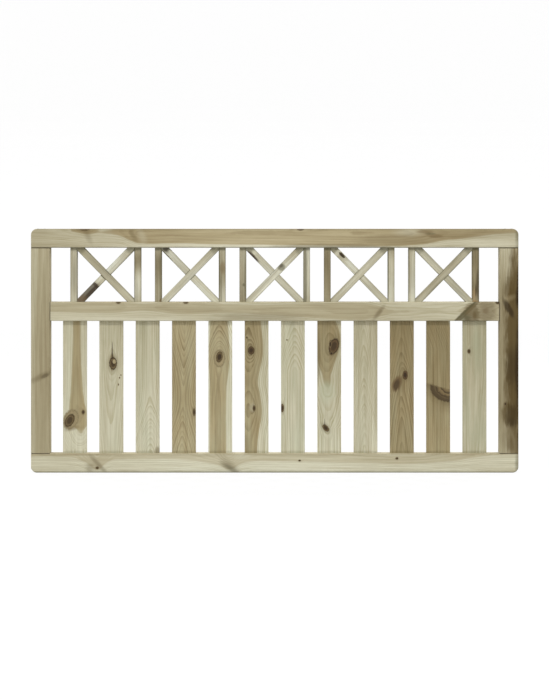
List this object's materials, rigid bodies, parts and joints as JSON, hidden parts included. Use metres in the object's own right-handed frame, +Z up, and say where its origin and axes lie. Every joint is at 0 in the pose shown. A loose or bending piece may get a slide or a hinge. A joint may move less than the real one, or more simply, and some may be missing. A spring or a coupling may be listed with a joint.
{
  "type": "deck railing panel",
  "caption": "Timber deck railing panel: a butt-jointed frame with upright slats below a middle rail and a band of half-lapped crosses between short uprights above it.",
  "frame": {"origin": "middle of the outer face of the left stile, the face that is fastened to a post", "axes": "+X runs along the panel from the left stile to the right one, +Y from the front face to the back, +Z up"},
  "size_m": [1.8, 0.045, 0.9],
  "materials": {
    "frame_timber": "planed, pressure treated, matt",
    "slat_timber": "planed, pressure treated, matt",
    "batten_timber": "planed, pressure treated, matt",
    "screw_steel": "zinc plated, dulled by the weather"
  },
  "bodies": {
    "root": {"top_rail": "frame_timber", "bottom_rail": "frame_timber", "mid_rail": "frame_timber", "left_stile": "frame_timber", "right_stile": "frame_timber", "slat_01": "slat_timber", "slat_02": "slat_timber", "slat_03": "slat_timber", "slat_04": "slat_timber", "slat_05": "slat_timber", "slat_06": "slat_timber", "slat_07": "slat_timber", "slat_08": "slat_timber", "slat_09": "slat_timber", "slat_10": "slat_timber", "slat_11": "slat_timber", "slat_12": "slat_timber", "upright_01": "batten_timber", "upright_02": "batten_timber", "upright_03": "batten_timber", "upright_04": "batten_timber", "upright_05": "batten_timber", "upright_06": "batten_timber", "upright_07": "batten_timber", "upright_08": "batten_timber", "upright_09": "batten_timber", "upright_10": "batten_timber", "brace_rise_1": "batten_timber", "brace_fall_1": "batten_timber", "brace_rise_2": "batten_timber", "brace_fall_2": "batten_timber", "brace_rise_3": "batten_timber", "brace_fall_3": "batten_timber", "brace_rise_4": "batten_timber", "brace_fall_4": "batten_timber", "brace_rise_5": "batten_timber", "brace_fall_5": "batten_timber"}
  },
  "joints": []
}
